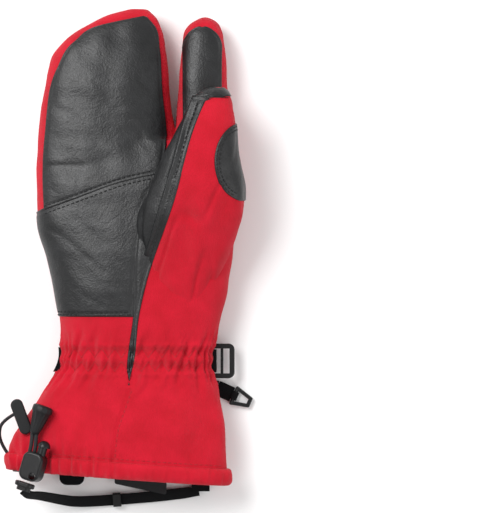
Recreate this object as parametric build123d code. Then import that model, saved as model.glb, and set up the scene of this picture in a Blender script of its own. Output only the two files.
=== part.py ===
from build123d import *
import math
import os

# A ski mitten for the right hand, with its own index finger and thumb, lying on its back.
#
# Frame, in millimetres: palm up along +Z, fingers along +Y, thumb side at +X. The origin is the middle
# of the footprint, on the surface that the mitten lies on. Every soft layer is a loft of elliptical
# sections that are cut flat underneath, so shell, insulation and lining nest inside each other.

# ---- driving dimensions -------------------------------------------------------------------------
SKIN = 1.2              # softshell and leather
GAP = 0.15              # between neighbouring layers
INSULATION_IN = 4.2     # depth of the insulation's inner face
LINING_IN = 5.2         # depth of the lining's inner face in the hand and fingers
CUFF_LINING_OUT, CUFF_LINING_IN = 2.9, 3.8
ELASTIC_IN = 2.6        # inner face of the wrist elastic

KNUCKLE_Y, KNUCKLE_Z = 73.0, 16.0     # curl axis of the mitt and index finger
KNUCKLE_RANGE = 32.0                  # degrees that they curl
WRIST_Y, WRIST_Z = -48.0, 20.0        # flex axis of the wrist
WRIST_RANGE = 25.0                    # degrees that the wrist flexes
THUMB_Y = 6.0                         # lift axis of the thumb
BODY_GAP = 0.5                        # half the gap between two bodies' cut faces
THUMB_CLEAR = 0.7                     # gap between the thumb and the palm that it lies on
SIDE_Z = 17.0                         # height of the side seam between palm and back
FLAT = 0.9                            # how far down a section's half height its flat underside lies

# One form's stations: (y, left x, right x, lowest z, highest z).
HAND = [
    (-48, -45.0, 60.0, -0.3, 41.0),
    (-10, -52.5, 67.0, -0.3, 42.0),
    (30, -60.5, 67.5, -0.3, 40.5),
    (74, -60.0, 66.0, -0.3, 35.0),
]
CUFF = [
    (-158, -80.0, 66.5, 4.5, 45.0),
    (-137, -78.5, 64.0, 4.5, 45.0),
    (-118, -73.0, 62.5, 4.5, 44.0),
    (-100, -62.0, 60.0, 4.0, 42.0),
    (-86, -51.0, 56.5, 4.0, 40.0),
    (-74, -44.0, 54.0, 4.0, 39.0),
    (-62, -43.5, 55.0, 2.5, 39.5),
    (-48, -45.0, 60.0, 0.0, 41.0),
]
MITT = [
    (73, -60.0, 29.5, 0.7, 35.0),
    (92, -59.0, 26.0, 0.7, 35.0),
    (110, -56.5, 25.5, 1.0, 34.0),
    (125, -52.0, 24.0, 1.5, 32.0),
    (137, -43.0, 23.5, 3.0, 30.0),
    (147, -30.5, 21.5, 5.5, 27.0),
    (155, -17.5, 18.5, 8.5, 23.5),
    (161, -3.5, 12.0, 12.0, 19.0),
]
INDEX = [
    (73, 30.0, 66.0, 1.5, 31.0),
    (100, 33.0, 66.0, 2.0, 30.0),
    (139, 35.5, 63.0, 4.0, 27.0),
    (147.5, 38.5, 60.0, 6.0, 25.0),
    (153.5, 45.0, 54.5, 10.0, 20.0),
]
THUMB = [
    (-6, 8.0, 69.5, 14.0, 45.0),
    (8, 8.0, 71.5, 18.0, 50.0),
    (20, 9.5, 75.0, 22.0, 56.0),
    (33, 13.0, 77.0, 25.5, 60.0),
    (48, 20.5, 74.5, 28.5, 62.0),
    (84, 38.0, 71.0, 32.5, 60.0),
    (97, 44.5, 68.0, 34.5, 56.5),
    (105.5, 52.5, 63.5, 40.5, 51.0),
]

# Plan outlines of the leather panels.
MITT_LEATHER = [
    (27, 60), (24.5, 90), (18, 150), (13.5, 155), (-19, 147.5), (-41, 126.5), (-50.5, 101), (-56, 60),
]
SEAM_LEFT, SEAM_RIGHT = (-55.5, 25.5), (18.5, 49.0)
DIAGONAL_SEAM = [SEAM_LEFT, (-30, 35.5), (-8, 43.5), SEAM_RIGHT]
HEEL_Y = -43.4                                  # lower edge of the heel panel
HEEL_RIGHT = 7.0                                # the heel panel ends at the thumb's fold
INDEX_LEATHER = (36.0, 61.5, 148.0)             # left, right and tip of the index finger's leather
THUMB_EDGE = [(70, 99.5), (51.5, 99.5), (40, 58), (26.5, 15.5), (17, -11)]
PATCH_CENTRE, PATCH_RADII, PATCH_LOW_Z = (76.0, 57.5), (19.5, 27.0), 42.0
STRIP = [(21, 5), (15, -16), (9, -42), (4.5, -74), (1, -88), (-1.5, -79), (0, -64), (3, -42), (4, -18),
         (4, 5)]

HEM_TILT = 4.3                # degrees that the hem runs down towards the thumb side
HEM_MID_Y = -145.0            # the hem's middle at x 0
HEM_HEIGHT = 11.5
HEM_PROUD = 4.2

STRAP_Y, STRAP_WIDTH, STRAP_THICK = -71.5, 20.0, 1.5
STRAP_TOP_Z, STRAP_END_Z = 24.0, 8.0     # its ends on the little-finger side and the thumb side

# The ladder lock, flat on the thumb side.
BUCKLE_LONG, BUCKLE_WIDE, BUCKLE_THICK = 23.0, 17.0, 3.2
BUCKLE_BAR_R, BUCKLE_SLOT = 1.5, 4.4
BUCKLE_X, BUCKLE_Y, BUCKLE_Z = 54.4, -72.8, 10.5      # its hinge bar's axis

# The wrist strap's loose tail, with a triangular pull ring.
TAIL_X, TAIL_Y, TAIL_Z = 57.5, -91.0, 2.0
TAIL_TURN = -24.0
TAIL_LONG, TAIL_WIDE, TAIL_THICK = 11.0, 10.0, 1.4
RING_LONG, RING_WIRE = 12.0, 1.25

# The cord lock and its cords.
LOCK = Plane(origin=(-61.8, -140.5, 48.4), x_dir=(0.902, -0.263, 0.342), z_dir=(-0.328, 0.096, 0.940))
LOCK_LONG, LOCK_WIDE, LOCK_THICK = 19.0, 14.5, 10.5
PLUNGER_X, PLUNGER_R, PLUNGER_BORE_R, PLUNGER_TRAVEL = 2.9, 3.0, 3.08, 4.0
DOME_X, DOME_R = 3.4, 4.2
CORD_D, CORD_BORE_R = 2.6, 1.42
WEBBING_TUBE_D = 5.0
LOOP_D = 2.2
RUNNING = 0.06               # radial clearance of a running fit
ANCHOR_X = 46.5
SLIDER_ALONG = 10.0           # the slider's place on the leash's straight run

WIDE = 400.0                  # larger than the mitten, for cutting bodies


# ---- shared construction ------------------------------------------------------------------------
def block(x0, x1, y0, y1, z0, z1):
    """A box between two corners."""
    return Pos((x0 + x1) / 2, (y0 + y1) / 2, (z0 + z1) / 2) * Box(x1 - x0, y1 - y0, z1 - z0)


def form(stations, inset, tip=False):
    """The closed form of a tube, inset from its outside. A tip end shortens and narrows in proportion."""
    y0, left0, right0, low0, high0 = stations[0]
    length = stations[-1][0] - y0
    turn = math.degrees(math.asin(FLAT))
    sections = []
    for y, left, right, low, high in stations:
        side, rise = (right - left) / 2 - inset, high - low - 2 * inset
        middle = (low + high) / 2
        if tip:
            side = (right - left) / 2 * (1 - 2 * inset / (right0 - left0))
            rise = (high - low) * (1 - 2 * inset / (high0 - low0))
            y = y0 + (y - y0) * (length - inset) / length
        up = rise / (1 + FLAT)
        centre = ((left + right) / 2, y, middle + rise / 2 - up)
        plane = Plane(origin=centre, x_dir=(1, 0, 0), z_dir=(0, -1, 0))
        arc = EllipticalCenterArc((0, 0), side, up, -turn, arc_size=180 + 2 * turn)
        sections.append(plane * make_face([arc, Line(arc @ 1, arc @ 0)]))
    return loft(sections)


def layer(stations, outer, inner, tip=False):
    """The wall of a tube between two depths."""
    return form(stations, outer, tip) - form(stations, inner, tip)


def prism(points, z0, z1):
    """A vertical prism over a plan outline."""
    return Pos(0, 0, z0) * extrude(make_face(Polyline(*points, close=True)), z1 - z0)


def wedge(y, z, degrees, side):
    """The room on the palm side of a hinge that the body on that side (+1 or -1 along Y) closes up."""
    reach = WIDE / 2
    lean = side * reach * math.tan(math.radians(degrees + 2))
    corners = [(y - side * 5, z), (y, z), (y + lean, z + reach), (y - side * 5, z + reach)]
    face = make_face(Polyline(*[(0, a, b) for a, b in corners], close=True))
    return Pos(-WIDE / 2, 0, 0) * extrude(face, WIDE, dir=(1, 0, 0))


def hem_band(inset, low=-HEM_HEIGHT / 2, high=HEM_HEIGHT / 2):
    """The cuff's form between two planes parallel to the hem."""
    slab = Pos(0, HEM_MID_Y, 0) * Rot(0, 0, -HEM_TILT) * block(-WIDE, WIDE, low, high, -WIDE, WIDE)
    return form(CUFF, inset) & slab


def route(points, share=0.45):
    """A cord's path: straight runs joined by tangent arcs as large as the runs allow."""
    points = [Vector(p) for p in points]
    radii = []
    for a, b, c in zip(points, points[1:], points[2:]):
        turn = math.radians((b - a).get_angle(c - b))
        radii.append(share * min((b - a).length, (c - b).length) / math.tan(turn / 2))
    return FilletPolyline(*points, radius=radii), radii


def tube(name, points, diameter):
    """A plain cord along a route. Prints its radii, and its volume against section times length."""
    path, radii = route(points)
    section = Plane(origin=path @ 0, z_dir=path % 0) * Circle(diameter / 2)
    solid = sweep(section, path=path)
    ratio = solid.volume / (math.pi * diameter**2 / 4 * path.length)
    bends = [round(r, 1) for r in radii]
    print(name, "length", round(path.length, 1), "radii", bends, "ratio", round(ratio, 4))
    return solid


PARTS = {}


def keep(name, shape):
    """Names a finished sub-part."""
    PARTS[name] = shape


# ---- hand ---------------------------------------------------------------------------------------
above_wrist = block(-WIDE, WIDE, WRIST_Y + BODY_GAP, KNUCKLE_Y - BODY_GAP, -WIDE, WIDE)
thumb_cavity = form(THUMB, LINING_IN) & block(-WIDE, WIDE, THUMB_Y - 4, WIDE, -WIDE, WIDE)


def hand_layer(outer, inner):
    """A layer of the hand, with the way into the thumb."""
    return (layer(HAND, outer, inner) & above_wrist) - thumb_cavity


hand_skin = hand_layer(0, SKIN)
LEFT_SIDE, FOLD_X = -70.0, 12.0          # past the little-finger side, and the fold under the thumb
upper_outline = [(24.5, 90), MITT_LEATHER[-1], (MITT_LEATHER[-1][0], SEAM_LEFT[1])]
upper_outline += DIAGONAL_SEAM[1:] + [(24, 50), MITT_LEATHER[0]]
upper_zone = prism(upper_outline, SIDE_Z, WIDE)
heel_outline = [(LEFT_SIDE, HEEL_Y), (LEFT_SIDE, 20.5)] + DIAGONAL_SEAM
heel_outline += [(FOLD_X, 30), (HEEL_RIGHT, 0), (3.5, HEEL_Y)]
heel_zone = prism(heel_outline, SIDE_Z, WIDE)
keep("palm_panel_upper", hand_skin & upper_zone)
keep("palm_panel_heel", hand_skin & heel_zone - upper_zone)
strip_zone = prism(STRIP, SIDE_Z, WIDE) - upper_zone - heel_zone
keep("hand_strip", hand_skin & strip_zone)
under_floor = block(-WIDE, WIDE, -WIDE, WIDE, -WIDE, 0)     # the shell rests on a true plane at z 0
keep("hand_shell", hand_skin - upper_zone - heel_zone - strip_zone - under_floor)
keep("hand_insulation", hand_layer(SKIN + GAP, INSULATION_IN))
keep("hand_lining", hand_layer(INSULATION_IN + GAP, LINING_IN))


# ---- mitt and index finger ----------------------------------------------------------------------
def finger(name, stations, leather_zone, beyond):
    """The four layers of a finger compartment, from its base at the knuckles on."""
    skin = layer(stations, 0, SKIN, tip=True) & beyond
    keep(f"{name}_leather", skin & leather_zone)
    keep(f"{name}_shell", skin - leather_zone)
    keep(f"{name}_insulation", layer(stations, SKIN + GAP, INSULATION_IN, tip=True) & beyond)
    keep(f"{name}_lining", layer(stations, INSULATION_IN + GAP, LINING_IN, tip=True) & beyond)


past_knuckles = block(-WIDE, WIDE, KNUCKLE_Y + BODY_GAP, WIDE, -WIDE, WIDE)
curl_room = wedge(KNUCKLE_Y, KNUCKLE_Z, KNUCKLE_RANGE, 1)
finger("mitt", MITT, prism(MITT_LEATHER, SIDE_Z, WIDE), past_knuckles - curl_room)
left, right, top = INDEX_LEATHER
half = (right - left) / 2
index_zone = block(left, right, 60, top - half, SIDE_Z - 2, WIDE)
index_zone += Pos((left + right) / 2, top - half, SIDE_Z - 2 + WIDE / 2) * Cylinder(half, WIDE)
finger("index", INDEX, index_zone, past_knuckles)

# ---- thumb --------------------------------------------------------------------------------------
thumb_room = form(HAND, -THUMB_CLEAR) + block(-WIDE, WIDE, -WIDE, THUMB_Y, -WIDE, WIDE)
thumb_room += form(INDEX, -THUMB_CLEAR)


def thumb_form(inset):
    """The thumb's form, with its closed tip shortened by the inset."""
    shape = form(THUMB, inset)
    return shape & block(-WIDE, WIDE, -WIDE, THUMB[-1][0] - inset, -WIDE, WIDE)


thumb_skin = (thumb_form(0) - thumb_form(SKIN)) - thumb_room
red_zone = prism(THUMB_EDGE + [(17.0, -WIDE), (WIDE, -WIDE), (WIDE, 99.5)], -WIDE, WIDE)
patch_zone = Pos(*PATCH_CENTRE, PATCH_LOW_Z) * extrude(Ellipse(*PATCH_RADII), WIDE)
keep("thumb_patch", thumb_skin & patch_zone)
keep("thumb_shell", (thumb_skin & red_zone) - patch_zone)
keep("thumb_leather", thumb_skin - red_zone - patch_zone)
keep("thumb_insulation", (thumb_form(SKIN + GAP) - thumb_form(INSULATION_IN)) - thumb_room)
keep("thumb_lining", (thumb_form(INSULATION_IN + GAP) - thumb_form(LINING_IN)) - thumb_room)

# ---- cuff ---------------------------------------------------------------------------------------
wrist_room = wedge(WRIST_Y, WRIST_Z, WRIST_RANGE, -1)
hem_frame = Pos(0, HEM_MID_Y, 0) * Rot(0, 0, -HEM_TILT)
hem_top = hem_frame * block(-WIDE, WIDE, HEM_HEIGHT / 2 + GAP, WIDE, -WIDE, WIDE)
hem_low = hem_frame * block(-WIDE, WIDE, -HEM_HEIGHT / 2, WIDE, -WIDE, WIDE)
below_wrist = block(-WIDE, WIDE, -WIDE, WRIST_Y - BODY_GAP, -WIDE, WIDE)
cuff_skin = (layer(CUFF, 0, SKIN) & hem_top & below_wrist) - wrist_room
keep("cuff_strip", cuff_skin & strip_zone)
cuff_skin -= strip_zone
cuff_front = block(-WIDE, WIDE, -WIDE, WIDE, SIDE_Z, WIDE)
keep("cuff_front_shell", cuff_skin & cuff_front)
keep("cuff_back_shell", cuff_skin - cuff_front)
elastic_span = block(-WIDE, WIDE, -81, -62.5, -WIDE, WIDE)
keep("wrist_elastic", (layer(CUFF, SKIN + GAP, ELASTIC_IN) & elastic_span) - wrist_room)
keep("cuff_lining", (layer(CUFF, CUFF_LINING_OUT, CUFF_LINING_IN) & hem_low & below_wrist) - wrist_room)
channel = hem_band(-HEM_PROUD + 1.4, -3.2, 3.2) - hem_band(-0.2, -3.4, 3.4)
keep("hem_band", hem_band(-HEM_PROUD) - hem_band(CUFF_LINING_OUT - GAP, -HEM_HEIGHT, HEM_HEIGHT) - channel)
keep("hem_drawcord", hem_band(-2.5, -1.1, 1.1) - hem_band(-0.4, -1.3, 1.3))

# ---- wrist strap --------------------------------------------------------------------------------
strap_span = block(-WIDE, WIDE, STRAP_Y - STRAP_WIDTH / 2, STRAP_Y + STRAP_WIDTH / 2, -WIDE, STRAP_TOP_Z)
strap = layer(CUFF, -0.2 - STRAP_THICK, -0.2) & strap_span
strap -= block(0, WIDE, -WIDE, WIDE, STRAP_END_Z, WIDE)
keep("wrist_strap", strap)
anchor_span = block(-WIDE, 0, STRAP_Y - 8, STRAP_Y + 8, 10, STRAP_TOP_Z - 2)
keep("strap_anchor", layer(CUFF, -1.0 - 2 * STRAP_THICK, -0.35 - STRAP_THICK) & anchor_span)

bar = Pos(BUCKLE_X, BUCKLE_Y, BUCKLE_Z) * Rot(90, 0, 0) * Cylinder(BUCKLE_BAR_R, BUCKLE_LONG - 4)
buckle = Pos(BUCKLE_X - 2.2 + BUCKLE_WIDE / 2, BUCKLE_Y, BUCKLE_Z) * extrude(
    RectangleRounded(BUCKLE_WIDE, BUCKLE_LONG, 4), BUCKLE_THICK / 2, both=True)
buckle = fillet(buckle.faces().filter_by(Axis.Z).edges(), 0.9)
slot_long = BUCKLE_LONG - 6.5
inner_slot = Pos(BUCKLE_X + BUCKLE_SLOT / 2 + 0.4, BUCKLE_Y, BUCKLE_Z) * Box(BUCKLE_SLOT + 3.2, slot_long, 20)
bar_space = Pos(BUCKLE_X - 3, BUCKLE_Y, BUCKLE_Z) * Box(8, slot_long, 20)
outer_slot_x = BUCKLE_X + BUCKLE_WIDE - 2.2 - 3.4 - BUCKLE_SLOT / 2
outer_slot = Pos(outer_slot_x, BUCKLE_Y, BUCKLE_Z) * Box(BUCKLE_SLOT, slot_long, 20)
keep("ladder_lock", (buckle - bar_space - outer_slot - inner_slot) + bar + (
    Pos(BUCKLE_X + 6.4, BUCKLE_Y, BUCKLE_Z) * Box(1.8, slot_long + 1, BUCKLE_THICK - 0.8)))
loop_wide = slot_long - 1.4
loop = Pos(BUCKLE_X, BUCKLE_Y, BUCKLE_Z) * Rot(90, 0, 0) * (
    Cylinder(BUCKLE_BAR_R + 0.2 + 1.2, loop_wide) - Cylinder(BUCKLE_BAR_R + 0.2, loop_wide))
tongue_top = BUCKLE_Z - BUCKLE_BAR_R - 0.2
tongue = block(BUCKLE_X - 17, BUCKLE_X, BUCKLE_Y - loop_wide / 2, BUCKLE_Y + loop_wide / 2,
               tongue_top - 1.2, tongue_top)
strap_loop = (loop + tongue) - form(CUFF, -0.2 - STRAP_THICK - 0.1)
keep("strap_loop", strap_loop)

tail_frame = Pos(TAIL_X, TAIL_Y, TAIL_Z) * Rot(0, 0, TAIL_TURN)
tail = Pos(TAIL_LONG / 2, 0, 0) * Box(TAIL_LONG, TAIL_WIDE, TAIL_THICK)
ring_pivot = TAIL_LONG + 1.6
tail_eye = Pos(ring_pivot, 0, 0.5) * Rot(90, 0, 0) * Cylinder(RING_WIRE + 1.1, TAIL_WIDE - 4.4)
tail_eye -= Pos(ring_pivot, 0, 0.5) * Rot(90, 0, 0) * Cylinder(RING_WIRE + 0.15, TAIL_WIDE)
tail -= Pos(ring_pivot, 0, 0.5) * Rot(90, 0, 0) * Cylinder(RING_WIRE + 0.15, TAIL_WIDE + 4)
keep("strap_tail", tail_frame * (tail + tail_eye))
ring_half, tip_half = TAIL_WIDE / 2 + 1.85, 3.4
ring_face = make_face(Polyline((-RING_WIRE, -ring_half), (RING_LONG, -tip_half), (RING_LONG, tip_half),
                               (-RING_WIRE, ring_half), close=True))
ring_face = fillet(ring_face.vertices(), 1.0)
space_end = RING_LONG - 2.5
ring_space = make_face(Polyline((-3, -4.7), (space_end, -1.6), (space_end, 1.6), (-3, 4.7), close=True))
ring = extrude(ring_face, RING_WIRE - 0.1, both=True) - extrude(ring_space, 5, both=True)
ring += Rot(90, 0, 0) * Cylinder(RING_WIRE, 2 * ring_half - 3)
keep("tail_ring", tail_frame * Pos(ring_pivot, 0, 0.5) * ring)
root_tab = tail_frame * block(-7.5, -0.6, -TAIL_WIDE / 2 + 0.6, TAIL_WIDE / 2 - 0.6, -0.7, 0.7)
keep("tail_root", root_tab - form(CUFF, -0.3))

# ---- label and pull-on tab, sewn inside the hem's back ----------------------------------------------
def hanging_tab(x0, x1, low_left, low_right, thick, lift, corner):
    """A flat tab that leaves the hem's back edge and ends in rounded corners."""
    top_y = HEM_MID_Y + 1.0
    face = make_face(Polyline((x0, top_y), (x1, top_y), (x1, low_right), (x0, low_left), close=True))
    face = fillet(face.vertices().sort_by(Axis.Y)[:2], corner)
    return Pos(0, 0, lift) * extrude(face, thick)


inside_hem = form(CUFF, CUFF_LINING_IN + GAP)
hem_solid = hem_band(-HEM_PROUD - GAP) - inside_hem
keep("pull_on_tab", hanging_tab(-47.0, -30.5, -155.2, -155.2, 1.6, 8.0, 5.0) - hem_solid)
keep("blank_label", hanging_tab(-10.5, 24.0, -154.5, -161.9, 0.9, 6.0, 1.5) - hem_solid)

# ---- leash, cord lock and drawcord ------------------------------------------------------------------
LEASH_ROUTE = [
    (45.5, -159.6, 3.4), (28.0, -161.9, 3.4), (12.0, -163.6, 3.6), (-19.0, -166.0, 3.6),
    (-36.0, -166.6, 6.5), (-45.0, -164.6, 14.0), (-53.0, -162.2, 24.0), (-60.2, -160.2, 33.5),
    (-65.2, -159.6, 41.2), (-68.4, -156.6, 47.4),
]
keep("leash_webbing", tube("leash_webbing", LEASH_ROUTE, WEBBING_TUBE_D))
anchor = block(ANCHOR_X - 6, ANCHOR_X + 6, -159.6, -153.0, 0.6, 5.8)
keep("leash_anchor", anchor - hem_solid)
run_start, run_end = Vector(LEASH_ROUTE[3]), Vector(LEASH_ROUTE[2])
run = (run_end - run_start).normalized()
slider = Plane(origin=run_start + run * SLIDER_ALONG, z_dir=run, x_dir=(0, 0, 1))
slider_ring = extrude(RectangleRounded(6.8, 9.4, 1.6), 2.6, both=True)
slider_ring -= extrude(Circle(WEBBING_TUBE_D / 2 + RUNNING), 8, both=True)
keep("leash_slider", slider * slider_ring)

body_low = -LOCK_LONG / 2
lock = extrude(RectangleRounded(LOCK_WIDE, LOCK_LONG, 5.0), LOCK_THICK / 2, both=True)
lock = fillet(lock.faces().filter_by(Axis.Z).edges(), 1.8)
plunger_floor = body_low + 7.0
bore_long = LOCK_LONG / 2 - plunger_floor
bore = Pos(PLUNGER_X, plunger_floor + bore_long, 0) * Rot(90, 0, 0) * Cylinder(PLUNGER_BORE_R, bore_long * 2)
cord_x = (-5.35, -2.1)
cord_holes = [Pos(x, 0, 0) * Rot(90, 0, 0) * Cylinder(CORD_BORE_R, LOCK_LONG + 10) for x in cord_x]
eye_hole = Pos(PLUNGER_X, body_low + 3.7, 0) * Cylinder(2.3, LOCK_THICK + 2)
keep("lock_body", LOCK * (lock - bore - eye_hole - cord_holes[0] - cord_holes[1]))
spring_low, spring_high = plunger_floor + 0.15, LOCK_LONG / 2 - 7.2
plunger_low = spring_high + 0.1
stem_long = LOCK_LONG / 2 + 5.0 - plunger_low
stem = Pos(PLUNGER_X, plunger_low + stem_long / 2, 0) * Rot(90, 0, 0) * Cylinder(PLUNGER_R, stem_long)
dome = Pos(DOME_X, LOCK_LONG / 2 + PLUNGER_TRAVEL + 0.6, 0) * Sphere(DOME_R)
dome &= block(-WIDE, WIDE, LOCK_LONG / 2 + PLUNGER_TRAVEL + 0.6, WIDE, -WIDE, WIDE)
keep("lock_button", LOCK * (stem + dome))
turns = 3
pitch = (spring_high - spring_low) / turns
helix = Helix(pitch=pitch, height=spring_high - spring_low - 0.9, radius=2.3)
coil = sweep(Plane(origin=helix @ 0, z_dir=helix % 0) * Circle(0.35), path=helix)
keep("lock_spring", LOCK * Pos(PLUNGER_X, spring_low + 0.45, 0) * Rot(-90, 0, 0) * coil)

cap_plane = LOCK * Pos(-2.2, body_low - 3.4, 0)
cap = extrude(SlotOverall(13.5, 8.5), 1.5, both=True)
cap = fillet(cap.edges(), 0.7)
neck = extrude(SlotOverall(9.5, 6.5), 3.0)
keep("leash_cap", cap_plane * Rot(90, 0, 0) * (cap + (Pos(0, 0, 1.0) * neck)))

bell_tip = Vector(-61.6, -119.6, 43.0)
bell_axis = Vector(0.32, 0.94, -0.02).normalized()
bell_plane = Plane(origin=bell_tip, z_dir=bell_axis, x_dir=(0.9, -0.3, 0.3))
bell_profile = Polyline((0, 0), (2.9, 0), (3.4, 2), (6.0, 14.5), (6.5, 15.2), (6.5, 18.4), (5.6, 19.4),
                        (0, 19.4), close=True)
bell = revolve(Plane.XZ * make_face(bell_profile), Axis.Z)
keep("cord_end", bell_plane * bell)


def lock_point(x, y, z=0.0):
    """A point given in the cord lock's own axes."""
    return LOCK.from_local_coords(Vector(x, y, z))


for side, x, apart in zip(("left", "right"), cord_x, (-1.4, 1.4)):
    inner, leave = lock_point(x, -3.0), lock_point(x, LOCK_LONG / 2 + 2.5)
    last = bell_plane.from_local_coords(Vector(apart, 0, 0.3))
    keep(f"leash_cord_{side}", tube(side, [inner, leave, last], CORD_D))

LOOP_ROUTE = [
    (-80.4, -133.4, 22.0), (-84.5, -127.5, 22.5), (-86.0, -119.0, 26.0), (-83.0, -111.5, 31.0),
    (-75.2, -107.0, 36.4),
]
keep("drawcord_loop", tube("drawcord_loop", LOOP_ROUTE, LOOP_D))
pull = extrude(RectangleRounded(8.2, 24.0, 4.0), 1.5, both=True)
pull = fillet(pull.faces().filter_by(Axis.Z).edges(), 1.0)
pull_plane = Plane(origin=(-70.5, -108.5, 36.8), x_dir=(0.94, 0.35, 0), z_dir=(0, 0, 1))
keep("drawcord_pull", pull_plane * pull)

# ---- hand-in ------------------------------------------------------------------------------------
os.makedirs("parts", exist_ok=True)
for name, shape in PARTS.items():
    export_step(shape, f"parts/{name}.step")
print("nodes", len(PARTS))
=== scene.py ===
"""Final looks of a right-hand ski mitten that lies on its back, palm up, on a pale floor.

Lengths are in millimetres in the row frame and become metres when a mesh is made.
"""

import math

import bmesh
import bpy
import numpy as np
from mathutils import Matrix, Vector
from mathutils.bvhtree import BVHTree


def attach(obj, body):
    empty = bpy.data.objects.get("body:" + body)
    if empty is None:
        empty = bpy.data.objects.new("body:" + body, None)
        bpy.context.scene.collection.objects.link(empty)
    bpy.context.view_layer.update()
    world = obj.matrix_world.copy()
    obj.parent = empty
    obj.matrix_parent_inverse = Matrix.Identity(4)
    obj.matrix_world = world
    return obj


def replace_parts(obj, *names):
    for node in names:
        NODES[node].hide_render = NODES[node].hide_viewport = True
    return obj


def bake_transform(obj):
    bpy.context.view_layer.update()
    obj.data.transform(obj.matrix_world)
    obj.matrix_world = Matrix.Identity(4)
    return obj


MM = 0.001
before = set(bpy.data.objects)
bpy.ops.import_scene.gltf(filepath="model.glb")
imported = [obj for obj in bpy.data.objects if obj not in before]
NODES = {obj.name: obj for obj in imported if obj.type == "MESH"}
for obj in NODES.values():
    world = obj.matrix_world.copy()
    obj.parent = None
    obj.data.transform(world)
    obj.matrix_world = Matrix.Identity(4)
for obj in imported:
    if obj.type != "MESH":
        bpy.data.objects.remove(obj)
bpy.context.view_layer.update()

# ---- where cloth bends: (body, body, start, end) -------------------------------------------------
WRIST_BEND = ("hand", "cuff", (0, -30, 20), (0, -68, 20))
MITT_BEND = ("hand", "mitt", (0, 70, 16), (0, 96, 16))
THUMB_BEND = ("hand", "thumb", (40, 4, 45), (40, 46, 45))

# ---- forms: (y, left x, right x, lowest z, highest z) --------------------------------------------
BODY = [
    (-157, -80.0, 65.0, 4.0, 44.5), (-138, -80.5, 64.0, 3.5, 44.5), (-115, -72.5, 62.5, 3.0, 43.5),
    (-95, -58.0, 58.5, 3.0, 41.0), (-72, -44.5, 53.5, 4.5, 38.5), (-55, -45.0, 57.5, 2.0, 40.0),
    (-20, -51.0, 65.0, -0.5, 42.0), (20, -59.5, 70.5, -0.5, 41.0), (45, -61.5, 68.5, -0.5, 39.0),
    (73, -60.5, 65.5, 0.0, 34.5),
]
MITT = [
    (58, -61.0, 34.0, 0.0, 36.5), (90, -59.5, 27.5, 0.0, 35.0), (120, -54.5, 25.0, 1.0, 33.0),
    (132, -50.0, 24.0, 2.0, 31.0), (140, -41.0, 23.0, 3.5, 29.0), (148, -29.0, 21.0, 5.5, 27.0),
    (155, -16.0, 18.0, 8.0, 24.0), (160.5, 0.0, 12.0, 12.5, 19.0),
]
INDEX = [
    (60, 30.5, 66.5, 0.5, 32.5), (100, 32.0, 65.5, 1.0, 30.0), (138, 35.5, 62.5, 3.0, 27.0),
    (147, 37.5, 60.0, 5.0, 25.0), (152, 42.5, 56.0, 8.5, 21.5), (154, 47.5, 51.0, 12.5, 17.5),
]
THUMB = [
    (-44, 12.0, 52.0, 10.0, 34.0), (-15, 6.5, 61.0, 11.0, 44.0), (8, 5.0, 69.5, 15.0, 51.5),
    (22, 6.5, 74.0, 19.0, 57.0), (36, 13.0, 75.5, 23.0, 60.5), (65, 25.5, 71.5, 32.5, 62.5),
    (90, 38.5, 69.0, 34.0, 59.5), (100, 43.5, 66.5, 36.0, 56.0), (104, 48.5, 64.0, 39.0, 53.0),
    (106.5, 54.5, 60.5, 43.0, 49.5),
]
POWER = {"body": 2.25, "mitt": 2.35, "index": 2.3, "thumb": 2.2}
FORMS = {"body": BODY, "mitt": MITT, "index": INDEX, "thumb": THUMB}
WRIST_RADIUS = 46            # turns an angle round the wrist into a length
CUT_Y = -151.0               # the shell's lower edge, inside the hem

# ---- outlines in plan ----------------------------------------------------------------------------
SEAM = [(-61, 24), (-37, 32.5), (0, 45.5), (18.5, 49.5)]
UPPER_LEFT = [(-56, 26), (-57, 50), (-55.5, 78), (-47.5, 120), (-36.5, 137.5), (-20, 148), (11, 155)]
UPPER_RIGHT = [(20, 40), (25, 73), (22, 104), (20, 133), (17.5, 147), (11, 155)]
HEEL_RIGHT = [(4, -43.5), (6, -18), (7, 2), (14, 37), (23, 50)]
INDEX_PANEL_LEFT, INDEX_PANEL_RIGHT, INDEX_PANEL_TOP, INDEX_PANEL_ROUND = 35.0, 61.0, 148.0, 14.0
RED_EDGE = [(-2, -92), (3, -76.5), (7.5, -41.5), (12, -21.5), (30.5, 32), (45.5, 84.5), (52.5, 101.5)]
RIDGE = [(7.5, -18), (12.5, -2), (31, 57), (37.5, 80.5), (44, 99.5)]
STRIP_LEFT = [(1, -88.5), (-1.5, -77), (2.5, -43), (4, 2), (11, 37), (18, 50)]
PATCH_X, PATCH_Y, PATCH_HALF_X, PATCH_HALF_Y = 76.5, 58.0, 20.5, 26.0
PALM_CREASES = [
    ([(-50, 96), (-34, 86), (-20, 72)], 0.28), ([(-40, 120), (-24, 112), (-12, 100)], 0.22),
    ([(-50, 14), (-34, 2), (-16, -14)], 0.30), ([(-34, 20), (-20, 8), (-6, -8)], 0.24),
    ([(-44, -14), (-32, -26), (-18, -36)], 0.22), ([(-8, 92), (4, 82), (14, 66)], 0.22),
]
ZIGZAG_ROWS, ZIGZAG_HIGH, ZIGZAG_PERIOD = ((-66.6, 0), (-75.6, 1)), 3.3, 8.8
CUFF_SEAM = [(0.6, -91), (-3.6, -103), (-8.1, -117), (-10.5, -137)]

ZIGZAG_START_X, ZIGZAG_ROUND, ZIGZAG_LIFT, ZIGZAG_RADIUS = -40, 184, 0.05, 0.3

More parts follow.
